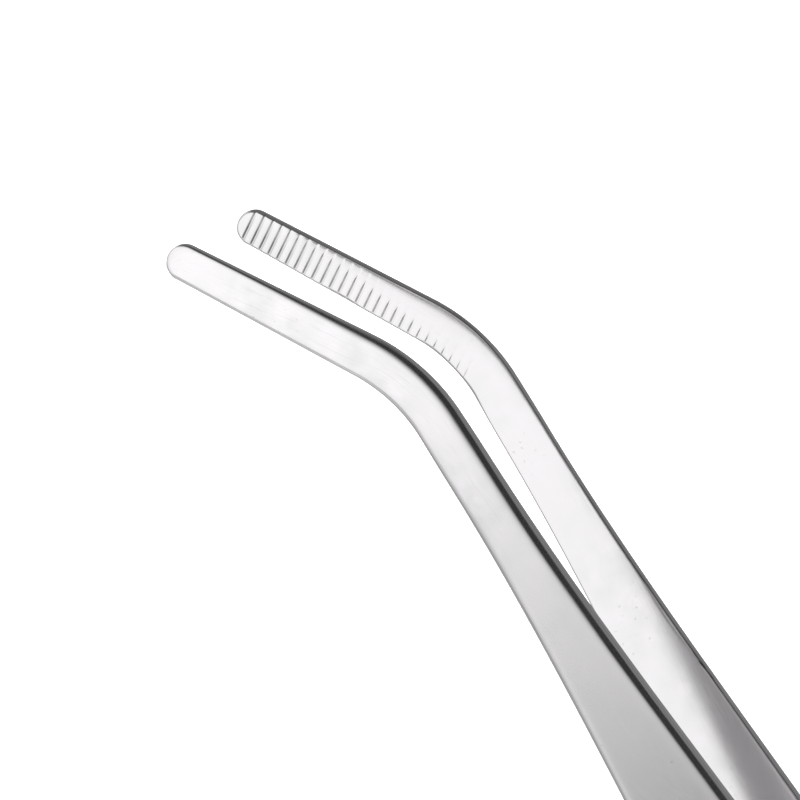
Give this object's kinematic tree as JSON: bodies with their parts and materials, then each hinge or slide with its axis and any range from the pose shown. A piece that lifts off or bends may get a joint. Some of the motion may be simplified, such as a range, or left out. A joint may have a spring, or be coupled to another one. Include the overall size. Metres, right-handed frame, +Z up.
{
  "type": "aquascaping tweezers",
  "caption": "Long bent-tip stainless steel tweezers for planting and trimming aquarium plants: two sprung arms, welded at the tail, with serrated tips.",
  "frame": {"origin": "on the surface the tool stands on, below the middle of its length, on the mid-plane between the arms", "axes": "+X runs from the tips to the tail, +Y from the left arm to the right arm (the way the arms open), +Z up along the width of the arms; the bent tips point down and forward"},
  "size_m": [0.27, 0.0238, 0.0149],
  "materials": {
    "arm_steel": "satin, fine lengthwise grain, ground edges",
    "weld_steel": "satin, slightly heat-tinted"
  },
  "bodies": {
    "tail": {"left_heel": "arm_steel", "right_heel": "arm_steel", "front_weld": "weld_steel", "middle_weld": "weld_steel", "rear_weld": "weld_steel"},
    "left_arm": {"left_blade": "arm_steel"},
    "right_arm": {"right_blade": "arm_steel"}
  },
  "joints": [
    {"name": "left_squeeze", "type": "hinge", "parent": "tail", "child": "left_arm", "pos_m": [0.07357, -0.00248, 0.00591], "axis": [-0.0291, 0, -0.9996], "range_deg": [0, 3.02], "stiffness_Nm_per_rad": 9},
    {"name": "right_squeeze", "type": "hinge", "parent": "tail", "child": "right_arm", "pos_m": [0.07357, 0.00248, 0.00591], "axis": [0.0291, 0, 0.9996], "range_deg": [0, 3.02], "stiffness_Nm_per_rad": 9}
  ],
  "couplings": [
    {"joint": "right_squeeze", "follows": "left_squeeze", "ratio": 1}
  ]
}
